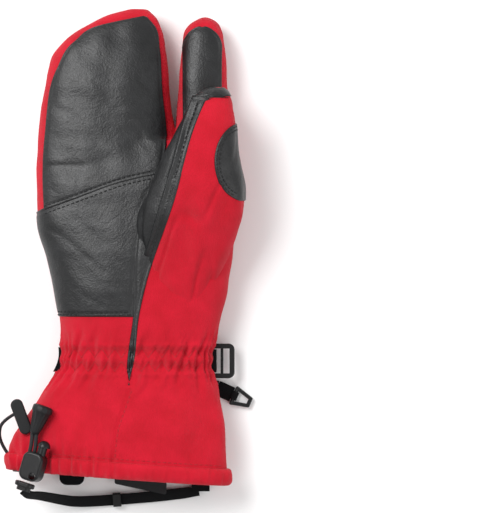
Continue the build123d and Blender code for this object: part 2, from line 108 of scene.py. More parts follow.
HEM_TILT, HEM_MID_Y, HEM_HALF = math.radians(4.3), -144.0, 5.6
HEM_OUT, HEM_AROUND, HEM_TURNS = 3.3, 520, 28          # how far the roll stands out, and its points
FLOOR_GAP = 0.3              # the least height of the hem above the floor
COMPARTMENTS_Y = 58          # above this the skin is compartments, below it hand and cuff
CROTCH_X = 30.0              # parts the mitt compartment from the index compartment
MIDDLE_Z = 20                # about half the mitten's height
FLAT_FROM, FLAT_AT = 1.2, 0.25                         # the underside flattens from one height to the other
LINING_AROUND = 120
CORD_END_TIP, CORD_END_AROUND, RIBS, RIB_HIGH = np.array([-61.6, -119.6, 43.0]), 96, 12, 0.22
LOOP_DIAMETER = 2.2
LEASH_HALF_WIDE, LEASH_HALF_THICK = 3.9, 0.75
LEASH_ROUTE = [
    (45.5, -159.6, 3.4), (28.0, -161.9, 3.4), (12.0, -163.6, 3.6), (-19.0, -166.0, 3.6), (-36.0, -166.6, 6.5),
    (-45.0, -164.6, 14.0), (-53.0, -162.2, 24.0), (-60.2, -160.2, 33.5), (-65.2, -159.6, 41.2),
    (-68.4, -156.6, 47.4),
]
LOOP_ROUTE = [(-80.4, -133.4, 22.0), (-84.5, -127.5, 22.5), (-86.0, -119.0, 26.0), (-83.0, -111.5, 31.0),
              (-75.2, -107.0, 36.4)]


# ---- how a leather panel lies on the cloth -------------------------------------------------------
TUCK = 0.5                   # depth of the cut edge under the cloth
EDGE_WIDE, EDGE_LEAST = 0.9, 0.25                      # width of the turned edge, and the least of it
SEED_OUT = 0.5               # start of the search for the surface, outside the plain form
STITCH_AT, STITCH_DIP = np.array([0.0, 0.12, 0.5, 0.88, 1.0]), np.array([-0.3, 0.0, 0.05, 0.0, -0.3])
STITCH_SWELL, STITCH_SIDES = np.array([0.35, 0.9, 1.0, 0.9, 0.35]), 6
BLACK_STITCH = {"radius": 0.42, "lift": 0.22}

# thumb leather: lowest y, length, y where its edge turns round the tip and where that ends
WRAP_LOW, WRAP_TALL, WRAP_TIP_FROM, WRAP_TIP_TO = -20, 125.8, 98, 101.4
WRAP_PAST, WRAP_TIP_ANGLE, PATCH_PAST = 0.75, -0.9, -0.55           # angles in radians


# ---- numbers -------------------------------------------------------------------------------------
def smooth_step(x, low, high):
    t = np.clip((np.asarray(x, float) - low) / (high - low), 0, 1)
    return t * t * (3 - 2 * t)


def bell(x, width):
    return np.exp(-((x / width) ** 2))


def wave(s, length, phase=0.0):
    return np.sin(s * 2 * math.pi / length + phase)


def hermite(x, xs, ys):
    """A smooth curve through points, with slopes taken from each point's neighbours."""
    xs, ys = np.asarray(xs, float), np.asarray(ys, float)
    slopes, rise = np.gradient(ys, xs), np.diff(ys) / np.diff(xs)
    before, after = np.append(rise[0], rise), np.append(rise, rise[-1])
    most = 3 * np.minimum(np.abs(before), np.abs(after))
    slopes = np.where(before * after > 0, np.clip(slopes, -most, most), 0)
    x = np.clip(x, xs[0], xs[-1])
    i = np.clip(np.searchsorted(xs, x) - 1, 0, len(xs) - 2)
    h = xs[i + 1] - xs[i]
    t = (x - xs[i]) / h
    a, b = 2 * t**3 - 3 * t**2 + 1, t**3 - 2 * t**2 + t
    c, d = -2 * t**3 + 3 * t**2, t**3 - t**2
    return a * ys[i] + b * h * slopes[i] + c * ys[i + 1] + d * h * slopes[i + 1]


def curve_x(points, y):
    """The x of an outline's side at heights y."""
    points = sorted(points, key=lambda p: p[1])
    return hermite(y, [p[1] for p in points], [p[0] for p in points])


def section(form, y):
    """Centre x, centre z, half width and half height of a form at heights y."""
    ys = [row[0] for row in FORMS[form]]
    left, right, low, high = (hermite(y, ys, [row[k] for row in FORMS[form]]) for k in (1, 2, 3, 4))
    return (left + right) / 2, (low + high) / 2, (right - left) / 2, (high - low) / 2


def on_form(form, y, angle, grow=0.0):
    """Points on a form at heights y and angles, 0 at the thumb side and 90 degrees at the palm."""
    cx, cz, a, b = section(form, y)
    k = 2 / POWER[form]
    c, s = np.cos(angle), np.sin(angle)
    x = cx + (a + grow) * np.sign(c) * np.abs(c) ** k
    z = cz + (b + grow) * np.sign(s) * np.abs(s) ** k
    return np.stack([x, y + 0 * x, z], -1)


def angle_at(form, x, y):
    """The palm-side angle at which a form stands at plan position x."""
    cx, cz, a, b = section(form, y)
    ratio = np.clip((x - cx) / a, -1, 1)
    return np.arccos(np.sign(ratio) * np.abs(ratio) ** (POWER[form] / 2))


def index_side(sign):
    """One side of the index panel: straight, then half of a rounded tip."""
    centre = (INDEX_PANEL_LEFT + INDEX_PANEL_RIGHT) / 2
    half = (INDEX_PANEL_RIGHT - INDEX_PANEL_LEFT) / 2

    def at(y):
        above = np.asarray(y, float) - INDEX_PANEL_TOP + INDEX_PANEL_ROUND
        t = np.clip(above / INDEX_PANEL_ROUND, 0, 1)
        return centre + sign * half * np.sqrt(1 - t**2)
    return at


def patch_x(y):
    """The patch's curved edge, half of an ellipse."""
    t = (np.asarray(y, float) - PATCH_Y) / PATCH_HALF_Y
    return PATCH_X - PATCH_HALF_X * np.sqrt(np.clip(1 - t**2, 0, 1))


def polyline(points, step):
    """Points along a smooth line through the given ones, about one step apart."""
    pts = np.asarray(points, float)
    s = np.concatenate([[0], np.cumsum(np.linalg.norm(np.diff(pts, axis=0), axis=1))])
    at = np.linspace(0, s[-1], max(2, int(round(s[-1] / step)) + 1))
    if len(pts) == 2:
        return np.stack([np.interp(at, s, pts[:, k]) for k in range(pts.shape[1])], -1)
    return np.stack([hermite(at, s, pts[:, k]) for k in range(pts.shape[1])], -1)


def distance_to_line(xy, points):
    """Plan distance of many points from a polyline."""
    pts = np.asarray(points, float)
    best = np.full(len(xy), 1e9)
    for a, b in zip(pts, pts[1:]):
        d = b - a
        t = np.clip(((xy - a) @ d) / (d @ d), 0, 1)
        best = np.minimum(best, np.linalg.norm(xy - a - t[:, None] * d, axis=1))
    return best


class Waves:
    """Soft random relief: a sum of sine waves in seeded directions."""

    def __init__(self, seed, wavelength, count=9, stretch=(1, 1, 1)):
        rng = np.random.default_rng(seed)
        direction = rng.normal(size=(count, 3)) / np.array(stretch)
        direction /= np.linalg.norm(direction, axis=1)[:, None]
        direction = direction / np.array(stretch)
        self.k = direction * (2 * math.pi / wavelength * rng.uniform(0.6, 1.5, (count, 1)))
        self.phase = rng.uniform(0, 2 * math.pi, count)
        self.count = count

    def __call__(self, p):
        return np.sin(p @ self.k.T + self.phase).sum(-1) / math.sqrt(self.count)


# ---- meshes --------------------------------------------------------------------------------------
def new_object(name, verts, faces, material):
    """A mesh object from points in millimetres."""
    mesh = bpy.data.meshes.new(name)
    mesh.from_pydata((np.asarray(verts, float) * MM).tolist(), [], [tuple(map(int, f)) for f in faces])
    mesh.update()
    mesh.polygons.foreach_set("use_smooth", [True] * len(mesh.polygons))
    if material:
        mesh.materials.append(material)
    obj = bpy.data.objects.new(name, mesh)
    bpy.context.scene.collection.objects.link(obj)
    return obj


def grid_faces(rows, cols, wrap=False):
    """Quads of a grid of points, wrapped round its columns or not."""
    i, j = np.meshgrid(np.arange(rows - 1), np.arange(cols if wrap else cols - 1), indexing="ij")
    k = (j + 1) % cols
    return np.stack([i * cols + j, i * cols + k, (i + 1) * cols + k, (i + 1) * cols + j], -1).reshape(-1, 4)


def closed_tube(form, step=2.0, around=144):
    """A form as a closed mesh, for joining with others."""
    ys = np.array([row[0] for row in FORMS[form]], float)
    y = np.unique(np.concatenate([np.arange(ys[0], ys[-1], step), ys]))
    angle = np.linspace(0, 2 * math.pi, around, endpoint=False)
    pts = np.stack([on_form(form, yy, angle) for yy in y])
    verts = pts.reshape(-1, 3)
    faces = [tuple(f) for f in grid_faces(len(y), around, wrap=True)]
    faces.append(tuple(range(around)))
    faces.append(tuple(reversed(range((len(y) - 1) * around, len(y) * around))))
    return verts, faces


def remesh(name, forms, voxel=1.15, passes=10):
    """One skin round several forms, as arrays of points and faces."""
    verts, faces, base = [], [], 0
    for form in forms:
        v, f = closed_tube(form)
        verts.append(v)
        faces += [tuple(i + base for i in face) for face in f]
        base += len(v)
    raw = new_object(name + "_raw", np.concatenate(verts), faces, None)
    voxels = raw.modifiers.new("skin", "REMESH")
    voxels.mode, voxels.voxel_size = "VOXEL", voxel * MM
    relax = raw.modifiers.new("relax", "SMOOTH")
    relax.factor, relax.iterations = 0.5, passes
    ready = raw.evaluated_get(bpy.context.evaluated_depsgraph_get())
    mesh = bpy.data.meshes.new_from_object(ready)
    co = np.empty(len(mesh.vertices) * 3)
    mesh.vertices.foreach_get("co", co)
    polys = np.array([tuple(p.vertices) if len(p.vertices) == 4 else tuple(p.vertices) + (p.vertices[-1],)
                      for p in mesh.polygons])
    bpy.data.objects.remove(raw)
    bpy.data.meshes.remove(mesh)
    return co.reshape(-1, 3) / MM, polys


def normals_of(co, polys):
    """Unit vertex normals of a quad mesh."""
    a, b = co[polys[:, 2]] - co[polys[:, 0]], co[polys[:, 3]] - co[polys[:, 1]]
    n = np.cross(a, b)
    out = np.zeros_like(co)
    for k in range(4):
        np.add.at(out, polys[:, k], n)
    return out / np.maximum(np.linalg.norm(out, axis=1), 1e-12)[:, None]


def turned_outwards(co, polys):
    """A skin's faces and vertex normals, both pointing away from its middle."""
    n = normals_of(co, polys)
    if np.einsum("ij,ij->i", n, co - co.mean(0)).mean() < 0:
        return polys[:, ::-1], -n
    return polys, n


def faced_along(pts, faces, outward):
    """The faces of a grid, turned over if they point against the given normals."""
    turn = np.cross(pts[faces[:, 1]] - pts[faces[:, 0]], pts[faces[:, 3]] - pts[faces[:, 0]])
    if np.einsum("ij,ij->i", turn, outward[faces[:, 0]]).mean() < 0:
        return faces[:, ::-1]
    return faces


def close_body(obj, merge=False):
    """Turns a closed body's faces outwards, after joining points that coincide if asked."""
    bm = bmesh.new()
    bm.from_mesh(obj.data)
    if merge:
        bmesh.ops.remove_doubles(bm, verts=bm.verts, dist=1e-6)
    bmesh.ops.recalc_face_normals(bm, faces=bm.faces)
    bm.to_mesh(obj.data)
    bm.free()
    return obj


def tree_of(co, polys):
    return BVHTree.FromPolygons(co.tolist(), polys.tolist())


def drop(tree, xy, start=120.0):
    """Points where vertical lines meet a surface from above, with normals."""
    out, normal = np.full((len(xy), 3), np.nan), np.full((len(xy), 3), np.nan)
    down = Vector((0, 0, -1))
    for i, (x, y) in enumerate(xy):
        hit, n, _, _ = tree.ray_cast(Vector((x, y, start)), down)
        if hit is not None:
            out[i], normal[i] = hit, n
    return out, normal


def nearest(tree, pts):
    """The nearest surface points, with normals."""
    out, normal = np.empty((len(pts), 3)), np.empty((len(pts), 3))
    for i, p in enumerate(pts):
        hit, n, _, _ = tree.find_nearest(Vector(p))
        out[i], normal[i] = hit, n
    return out, normal


def piece_of(name, co, polys, keep, material, normals):
    """Some faces of a skin as an object that keeps the whole skin's shading."""
    chosen = polys[keep]
    used, index = np.unique(chosen, return_inverse=True)
    faces = [tuple(dict.fromkeys(f)) for f in index.reshape(chosen.shape).tolist()]
    obj = new_object(name, co[used], [f for f in faces if len(f) > 2], material)
    obj.data.normals_split_custom_set_from_vertices(normals[used].tolist())
    return obj


def along_and_across(pts, up):
    """Unit vectors at points of a line: sideways, and at right angles to that and the line."""
    tangent = np.gradient(pts, axis=0)
    tangent /= np.linalg.norm(tangent, axis=1)[:, None]
    across = np.cross(tangent, up)
    across /= np.linalg.norm(across, axis=1)[:, None]
    return across, np.cross(across, tangent)


def tube_faces(rings, sides):
    """Faces of a tube with both ends closed."""
    faces = [tuple(f) for f in grid_faces(rings, sides, wrap=True)]
    return faces + [tuple(reversed(range(sides))), tuple(range((rings - 1) * sides, rings * sides))]


def round_tube(name, pts, radius, material, sides):
    across, over = along_and_across(pts, np.array([0.0, 0.0, 1.0]))
    angle = np.linspace(0, 2 * math.pi, sides, endpoint=False)
    ring = across[:, None] * np.cos(angle)[None, :, None] + over[:, None] * np.sin(angle)[None, :, None]
    verts = (pts[:, None] + ring * radius).reshape(-1, 3)
    return new_object(name, verts, tube_faces(len(pts), sides), material)


def join(objects, name):
    """One object from several with the same material."""
    with bpy.context.temp_override(active_object=objects[0], selected_editable_objects=objects):
        bpy.ops.object.join()
    objects[0].name = name
    return objects[0]


def bend(obj):
    """Bakes a piece's placement into its mesh points."""
    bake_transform(obj)
    return obj


# ---- materials -----------------------------------------------------------------------------------
def material(name, color, roughness, build=None, sheen=0.0, metallic=0.0, spec=0.5):
    """A procedural material. build(nodes, links, shader, coordinates) adds its relief and colour."""
    mat = bpy.data.materials.new(name)
    mat.use_nodes = True
    nodes, links = mat.node_tree.nodes, mat.node_tree.links
    shader = nodes["Principled BSDF"]
    shader.inputs["Base Color"].default_value = (*color, 1)
    shader.inputs["Roughness"].default_value = roughness
    shader.inputs["Metallic"].default_value = metallic
    shader.inputs["Specular IOR Level"].default_value = spec
    shader.inputs["Sheen Weight"].default_value = sheen
    if build:
        place = nodes.new("ShaderNodeTexCoord").outputs["Object"]
        build(nodes, links, shader, place)
    return mat


def texture(nodes, links, place, kind, scale, **settings):
    """A texture node at a scale in cycles per metre."""
    node = nodes.new(kind)
    links.new(place, node.inputs["Vector"])
    node.inputs["Scale"].default_value = scale
    for key, value in settings.items():
        if key in node.inputs:
            node.inputs[key].default_value = value
        else:
            setattr(node, key, value)
    return node


def add(nodes, links, a, b, amount):
    """a + amount * b."""
    node = nodes.new("ShaderNodeMath")
    node.operation = "MULTIPLY_ADD"
    links.new(b, node.inputs[0])
    node.inputs[1].default_value = amount
    links.new(a, node.inputs[2])
    return node.outputs[0]


def relief(nodes, links, shader, height, distance):
    bump = nodes.new("ShaderNodeBump")
    bump.inputs["Strength"].default_value = 1.0
    bump.inputs["Distance"].default_value = distance
    links.new(height, bump.inputs["Height"])
    links.new(bump.outputs["Normal"], shader.inputs["Normal"])


def tint(nodes, links, shader, value, dark, light, low=0.3, high=0.7):
    """Base colour between two tones, by a texture's value."""
    ramp = nodes.new("ShaderNodeValToRGB")
    ramp.color_ramp.elements[0].position, ramp.color_ramp.elements[1].position = low, high
    ramp.color_ramp.elements[0].color = (*dark, 1)
    ramp.color_ramp.elements[1].color = (*light, 1)
    links.new(value, ramp.inputs["Fac"])
    links.new(ramp.outputs["Color"], shader.inputs["Base Color"])


def softshell_relief(nodes, links, shader, place):
    """A fine knit face with faint pilling."""
    rib = texture(nodes, links, place, "ShaderNodeTexWave", 900, bands_direction="DIAGONAL", Distortion=1.2)
    knit = texture(nodes, links, place, "ShaderNodeTexVoronoi", 1500)
    soft = texture(nodes, links, place, "ShaderNodeTexNoise", 260, Detail=4.0)
    height = add(nodes, links, rib.outputs["Fac"], knit.outputs["Distance"], 1.4)
    height = add(nodes, links, height, soft.outputs["Fac"], 1.6)
    relief(nodes, links, shader, height, 0.00016)
    wide = texture(nodes, links, place, "ShaderNodeTexNoise", 70, Detail=5.0)
    tint(nodes, links, shader, wide.outputs["Fac"], (0.50, 0.004, 0.016), (0.60, 0.006, 0.024))


def leather_relief(nodes, links, shader, place):
    """Pebbled grain with fine creases."""
    grain = texture(nodes, links, place, "ShaderNodeTexVoronoi", 950, feature="SMOOTH_F1")
    fine = texture(nodes, links, place, "ShaderNodeTexVoronoi", 2200, feature="DISTANCE_TO_EDGE")
    crease = texture(nodes, links, place, "ShaderNodeTexNoise", 120, Detail=7.0, Distortion=1.4)
    height = add(nodes, links, grain.outputs["Distance"], fine.outputs["Distance"], 0.7)
    height = add(nodes, links, height, crease.outputs["Fac"], 2.4)
    relief(nodes, links, shader, height, 0.00013)
    wear = texture(nodes, links, place, "ShaderNodeTexNoise", 85, Detail=6.0, Distortion=0.8)
    dark, light = (0.0035, 0.0037, 0.0042), (0.010, 0.0104, 0.0115)
    tint(nodes, links, shader, wear.outputs["Fac"], dark, light, 0.35, 0.72)


def webbing_relief(nodes, links, shader, place):
    """Close diagonal weave."""
    one = texture(nodes, links, place, "ShaderNodeTexWave", 700, bands_direction="DIAGONAL", Distortion=0.3)
    two = texture(nodes, links, place, "ShaderNodeTexWave", 1100, bands_direction="X", Distortion=0.6)
    height = add(nodes, links, one.outputs["Fac"], two.outputs["Fac"], 0.8)
    relief(nodes, links, shader, height, 0.00025)


def cord_relief(nodes, links, shader, place):
    """Braid."""
    braid = texture(nodes, links, place, "ShaderNodeTexVoronoi", 1300)
    relief(nodes, links, shader, braid.outputs["Distance"], 0.0003)


def plastic_relief(nodes, links, shader, place):
    """A lightly sparked moulding."""
    spark = texture(nodes, links, place, "ShaderNodeTexNoise", 2600, Detail=2.0)
    relief(nodes, links, shader, spark.outputs["Fac"], 0.00006)


def lining_relief(nodes, links, shader, place):
    """Brushed fleece."""
    pile = texture(nodes, links, place, "ShaderNodeTexNoise", 1400, Detail=3.0)
    relief(nodes, links, shader, pile.outputs["Fac"], 0.0006)


RED = material("red_softshell", (0.64, 0.006, 0.03), 0.78, softshell_relief, sheen=0.06, spec=0.2)
LEATHER = material("black_leather", (0.012, 0.012, 0.013), 0.40, leather_relief)
WEBBING = material("webbing", (0.007, 0.007, 0.008), 0.85, webbing_relief, spec=0.15)
CORD = material("cord", (0.018, 0.018, 0.02), 0.75, cord_relief, spec=0.3)
PLASTIC = material("plastic", (0.006, 0.006, 0.0065), 0.34, plastic_relief, spec=0.3)
RUBBER = material("moulded_rubber", (0.007, 0.007, 0.008), 0.5, plastic_relief, spec=0.3)
LINING = material("lining", (0.03, 0.03, 0.033), 0.95, lining_relief, sheen=0.3)
STEEL = material("spring_steel", (0.62, 0.62, 0.64), 0.28, plastic_relief, metallic=1.0)
LABEL = material("label_cloth", (0.02, 0.02, 0.022), 0.7, webbing_relief)
THREAD = material("black_thread", (0.004, 0.004, 0.0045), 0.6, cord_relief)
RED_THREAD = material("red_thread", (0.42, 0.004, 0.014), 0.7, cord_relief)


# ---- the skin and its relief ---------------------------------------------------------------------
def wrist_gathers(co):
    """Height of the gathers round the elastic, fading up into the hand and down into the cuff."""
    cx, cz, a, b = section("body", co[:, 1])
    turn = np.arctan2((co[:, 2] - cz) / b, (co[:, 0] - cx) / a)
    around = turn * WRIST_RADIUS
    y = co[:, 1]
    sway = 2.2 * np.sin(y / 9.0 + turn * 3) + 1.4 * np.sin(y / 5.2 + turn * 7 + 1)
    fine = wave(around + sway, 7.6) + 0.55 * wave(around - sway, 4.9, 1.3)
    broad = wave(around + 1.8 * sway, 17, 0.6) + 0.5 * wave(around + sway, 11.3)
    near = bell(y + 72, 13.0)
    wide = bell(y + 74, 30.0) * (1 - 0.5 * near)
    edge = smooth_step(y, -104, -78) * (1 - smooth_step(y, -64, -44))
    rows = np.cos((y + 71.5) / 10.5 * 2 * math.pi)
    rows *= smooth_step(y, -84, -80) * (1 - smooth_step(y, -63, -59))
    return 0.95 * fine * near + 1.35 * broad * wide * edge + 0.7 * rows


def cuff_folds(co):
    """Slow folds of the cuff between the wrist and the hem."""
    y = co[:, 1]
    span = smooth_step(y, -140, -112) * (1 - smooth_step(y, -96, -76))
    return 0.9 * span * Waves(5, 44, 7, stretch=(0.8, 1.7, 1))(co)


def hem_puckers(co, depth=1.0):
    """Tucks that the drawcord pulls in the little-finger half of the hem."""
    line = HEM_MID_Y - np.tan(HEM_TILT) * co[:, 0]
    above = co[:, 1] - line
    side = 0.25 + 0.75 * (1 - smooth_step(co[:, 0], -18, 6))
    fade = np.exp(-np.clip(above - 4, 0, None) / 8.5)
    sway = 1.3 * np.sin(co[:, 1] / 6.0)
    tucks = wave(co[:, 0] + sway, 7.2) + 0.6 * wave(co[:, 0] - sway, 4.6, 1.1)
    return depth * side * fade * tucks * 0.95


def groove(xy, line, width, depth):
    """A seam's groove with a low welt beside it."""
    d = distance_to_line(xy, line)
    return -depth * bell(d, width) + 0.35 * depth * bell(d - 2.2 * width, 1.4 * width)


def zigzag_line(y_mid, phase):
    """Corners of one row of the elastic's zigzag stitching."""
    count = int(ZIGZAG_ROUND / ZIGZAG_PERIOD) + 1
    return [(ZIGZAG_START_X + i * ZIGZAG_PERIOD / 2, y_mid + ZIGZAG_HIGH * (1 if (i + phase) % 2 else -1))
            for i in range(count)]


def body_relief(co, n):
    """All relief of the hand, cuff and finger compartments."""
    top = smooth_step(n[:, 2], 0.0, 0.45)
    out = wrist_gathers(co) + 1.5 * cuff_folds(co) + hem_puckers(co)
    xy = co[:, :2]
    out += top * groove(xy, CUFF_SEAM, 0.9, 0.8)
    for y_mid, phase in ZIGZAG_ROWS:
        out -= top * 0.75 * bell(distance_to_line(xy, zigzag_line(y_mid, phase)), 1.1)
    soft = Waves(11, 60, 9)(co) * 0.7 + Waves(12, 24, 9)(co) * 0.28
    out += soft * smooth_step(co[:, 1], -60, -20)
    palm = top * smooth_step(co[:, 1], -46, -20) * (1 - smooth_step(co[:, 1], 118, 150))
    ripple = Waves(21, 13, 8, stretch=(2.4, 0.8, 1))(co)
    out += palm * 0.07 * ripple * (0.4 + 0.6 * np.abs(Waves(22, 55, 6)(co)))
    for line, depth in PALM_CREASES:
        out -= top * depth * bell(distance_to_line(xy, polyline(line, 2.0)), 2.4)
    side_seam = bell(co[:, 2] - 17.5, 1.2) * (1 - smooth_step(np.abs(n[:, 2]), 0.5, 0.8))
    out -= 0.7 * side_seam * smooth_step(co[:, 1], -60, -40)
    return out


def thumb_relief(co, n):
    """Relief of the thumb: folds over its base and a soft back."""
    soft = Waves(31, 34, 8, stretch=(0.8, 1.5, 1))(co) * 0.75
    soft += Waves(32, 15, 8, stretch=(0.8, 1.4, 1))(co) * 0.22
    base = 1 - smooth_step(co[:, 1], 20, 60)
    fold = np.abs(Waves(33, 46, 5, stretch=(0.6, 1.8, 1))(co))
    return soft * (0.55 + 0.6 * base) - 0.9 * (0.35 + base) * bell(fold, 0.2)


def flatten_floor(co):
    """Nothing below the floor, and a soft flat where the mitten rests."""
    low = co[:, 2] < FLAT_FROM
    co[low, 2] = FLAT_AT + (FLAT_FROM - FLAT_AT) * np.exp((co[low, 2] - FLAT_FROM) / FLAT_FROM)
    return co


body_co, body_faces = remesh("body", ("body", "mitt", "index"))
body_faces, body_n = turned_outwards(body_co, body_faces)
body_co = flatten_floor(body_co + body_n * body_relief(body_co, body_n)[:, None])
body_n = normals_of(body_co, body_faces)
body_tree = tree_of(body_co, body_faces)

thumb_co, thumb_faces = remesh("thumb", ("thumb",), voxel=1.0)
thumb_faces, thumb_n = turned_outwards(thumb_co, thumb_faces)
thumb_co = thumb_co + thumb_n * thumb_relief(thumb_co, thumb_n)[:, None]
thumb_n = normals_of(thumb_co, thumb_faces)
thumb_tree = tree_of(thumb_co, thumb_faces)
both_tree = tree_of(np.concatenate([body_co, thumb_co]),
                    np.concatenate([body_faces, thumb_faces + len(body_co)]))

middle = body_co[body_faces].mean(1)
beyond = middle[:, 1] > COMPARTMENTS_Y
is_index = beyond & (middle[:, 0] > CROTCH_X)
is_mitt = beyond & ~is_index
is_cut = middle[:, 1] < CUT_Y - np.tan(HEM_TILT) * middle[:, 0] + 4
shell = bend(piece_of("hand_and_cuff_shell", body_co, body_faces, ~beyond & ~is_cut, RED, body_n))
mitt = bend(piece_of("mitt_compartment", body_co, body_faces, is_mitt, RED, body_n))
index = bend(piece_of("index_compartment", body_co, body_faces, is_index, RED, body_n))
whole = np.full(len(thumb_faces), True)
thumb = bend(piece_of("thumb_compartment", thumb_co, thumb_faces, whole, RED, thumb_n))
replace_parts(shell, "hand_shell", "hand_insulation", "cuff_front_shell", "cuff_back_shell", "wrist_elastic")
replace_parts(mitt, "mitt_shell", "mitt_insulation")
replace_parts(index, "index_shell", "index_insulation")
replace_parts(thumb, "thumb_shell", "thumb_insulation")


# ---- leather panels ------------------------------------------------------------------------------
def spread(length, step=1.1, edge=(0.0, 0.25, 0.6, 1.1, 1.8)):
    """Distances from one edge to the other, closer together near both edges."""
    if length < 2 * edge[-1] + step:
        return np.linspace(0, length, 9)
    inner = np.linspace(edge[-1], length - edge[-1], int(length / step))
    return np.concatenate([edge[:-1], inner, [length - e for e in reversed(edge[:-1])]])


def outline_points(left, right, y, across, wrap):
    """Points across a panel at a grid of heights, flat in plan or wrapped round a form."""
    if wrap:
        form, past = wrap
        start = math.pi + past
        return on_form(form, y, start + (angle_at(form, right(y), y) - start) * across, SEED_OUT)
    x0 = left(y)
    return np.stack([x0 + (right(y) - x0) * across, y, 0 * y], -1)


def along_rows(grid):
    """The distance of each point of a grid from the first one in its row."""
    step = np.linalg.norm(np.diff(grid, axis=1), axis=2)
    return np.concatenate([np.zeros((len(grid), 1)), np.cumsum(step, axis=1)], 1)


def smoothed(normals):
    """Unit normals of a grid, each averaged with its neighbours twice."""
    for _ in range(2):
        padded = np.pad(normals, ((1, 1), (1, 1), (0, 0)), mode="edge")
        normals = (padded[:-2, 1:-1] + padded[2:, 1:-1] + padded[1:-1, :-2] + padded[1:-1, 2:]
                   + 2 * normals) / 6
    flat = normals.reshape(-1, 3)
    return flat / np.linalg.norm(flat, axis=1)[:, None]


def panel(name, tree, left, right, y_low, y_high, thick=0.75, puff=0.5, wrap=None, row_step=1.1,
          low_edge=None, high_edge=None, columns=None):
    """A leather panel laid on a surface, with turned edges that go down into it.

    left and right give the outline's sides at a height. low_edge and high_edge give the height at an x.
    wrap takes the left side round a form by (form, angle past the silhouette). thick is the height near
    the edge and puff what the middle adds to it.
    """
    rows = y_low + spread(y_high - y_low, row_step)
    columns = columns or int(np.max(np.abs(right(rows) - left(rows))) / 1.2) + 12
    across = spread(1.0, 1.0 / columns, edge=(0.0, 0.004, 0.010, 0.018, 0.03))
    count = len(across)
    y = np.repeat(rows[:, None], count, axis=1)
    grid = outline_points(left, right, y, across, wrap)
    if low_edge or high_edge:
        low = low_edge(grid[0, :, 0]) if low_edge else np.full(count, y_low)
        high = high_edge(grid[-1, :, 0]) if high_edge else np.full(count, y_high)
        y = low + (high - low) * ((rows - y_low) / (y_high - y_low))[:, None]
        grid = outline_points(left, right, y, across, wrap)
    pts = grid.reshape(-1, 3)
    if wrap:
        at, normal = nearest(tree, pts)
    else:
        at, normal = drop(tree, pts[:, :2])
        missed = np.isnan(at[:, 0])
        if missed.any():
            seed = pts[missed].copy()
            seed[:, 2] = MIDDLE_Z
            at[missed], normal[missed] = nearest(tree, seed)
    grid = at.reshape(len(rows), count, 3)
    from_left, from_low = along_rows(grid), along_rows(grid.transpose(1, 0, 2)).T
    wide = from_left[:, -1:]
    to_side, to_end = np.minimum(from_left, wide - from_left), np.minimum(from_low, from_low[-1:] - from_low)
    inward = np.minimum(to_side, to_end).reshape(-1)
    turned_edge = np.clip(0.3 * np.repeat(wide[:, 0], count), EDGE_LEAST, EDGE_WIDE)
    lift = -TUCK + (thick + TUCK) * smooth_step(inward / turned_edge, 0, 1)
    lift += puff * (1 - np.exp(-inward / 6.0)) - 0.35 * bell(inward - 2.6, 0.7)
    unit = normal / np.linalg.norm(normal, axis=1)[:, None]
    outward = smoothed(unit.reshape(len(rows), count, 3))
    out = at + outward * lift[:, None]
    faces = faced_along(out, grid_faces(len(rows), count), outward)
    return new_object(name, out, faces, LEATHER), (out, faces)


def side(points):
    return lambda y: curve_x(points, y)


def seam_height(x):
    return hermite(x, [p[0] for p in SEAM], [p[1] for p in SEAM])


heel, heel_mesh = panel("heel_leather", body_tree, side([(-48, -44), (-61, 30)]), side(HEEL_RIGHT),
                        -43.6, 44.0, wrap=("body", 0.30), columns=110,
                        high_edge=lambda x: seam_height(x) + 2.6)
bend(heel)
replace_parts(heel, "palm_panel_heel")
upper, upper_mesh = panel("upper_palm_leather", body_tree, side(UPPER_LEFT), side(UPPER_RIGHT), 25.8, 154.6,
                          low_edge=lambda x: seam_height(x) + 0.2, thick=1.25, puff=0.7)
bend(upper)
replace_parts(upper, "palm_panel_upper", "mitt_leather")
finger, _ = panel("index_leather_panel", body_tree, index_side(-1), index_side(1), 62, INDEX_PANEL_TOP - 0.1)
bend(finger)
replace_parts(finger, "index_leather")
strip, _ = panel("leather_strip", both_tree, side(STRIP_LEFT), side(RED_EDGE), -88.0, 50.0,
                 thick=0.85, puff=0.2, row_step=0.9)
bend(strip)
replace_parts(strip, "hand_strip", "cuff_strip")


def thumb_leather_panel():
    """Leather round the thumb's inner side and tip, up to the red back."""
    rows = WRAP_LOW + spread(WRAP_TALL, 1.1)
    share = spread(1.0, 1.0 / 74, edge=(0.0, 0.006, 0.014, 0.026, 0.04))
    pts = []
    for y in rows:
        x1 = float(curve_x(RED_EDGE, min(y, WRAP_TIP_TO)))
        end = float(angle_at("thumb", x1, y))
        if y > WRAP_TIP_FROM:
            end = end + (WRAP_TIP_ANGLE - end) * float(smooth_step(y, WRAP_TIP_FROM, WRAP_TIP_TO))
        angle = (math.pi + WRAP_PAST) + (end - math.pi - WRAP_PAST) * share
        pts.append(on_form("thumb", np.full(len(share), y), angle, 0.3))
    at, normal = nearest(thumb_tree, np.concatenate(pts))
    across = along_rows(at.reshape(len(rows), len(share), 3))
    to_side = np.minimum(across, across[:, -1:] - across)
    inward = np.minimum(to_side, (rows - WRAP_LOW)[:, None]).reshape(-1)
    lift = -TUCK + 1.15 * smooth_step(inward, 0, EDGE_WIDE) + 0.25 * (1 - np.exp(-inward / 5))
    ridge = distance_to_line(at[:, :2], RIDGE)
    top = smooth_step(normal[:, 2], -0.1, 0.3)
    lift += top * (1.9 * bell(ridge, 1.1) - 0.35 * bell(ridge - 2.4, 0.9))
    out = at + normal * lift[:, None]
    faces = faced_along(out, grid_faces(len(rows), len(share)), normal)
    return new_object("thumb_leather_wrap", out, faces, LEATHER), (out, faces)


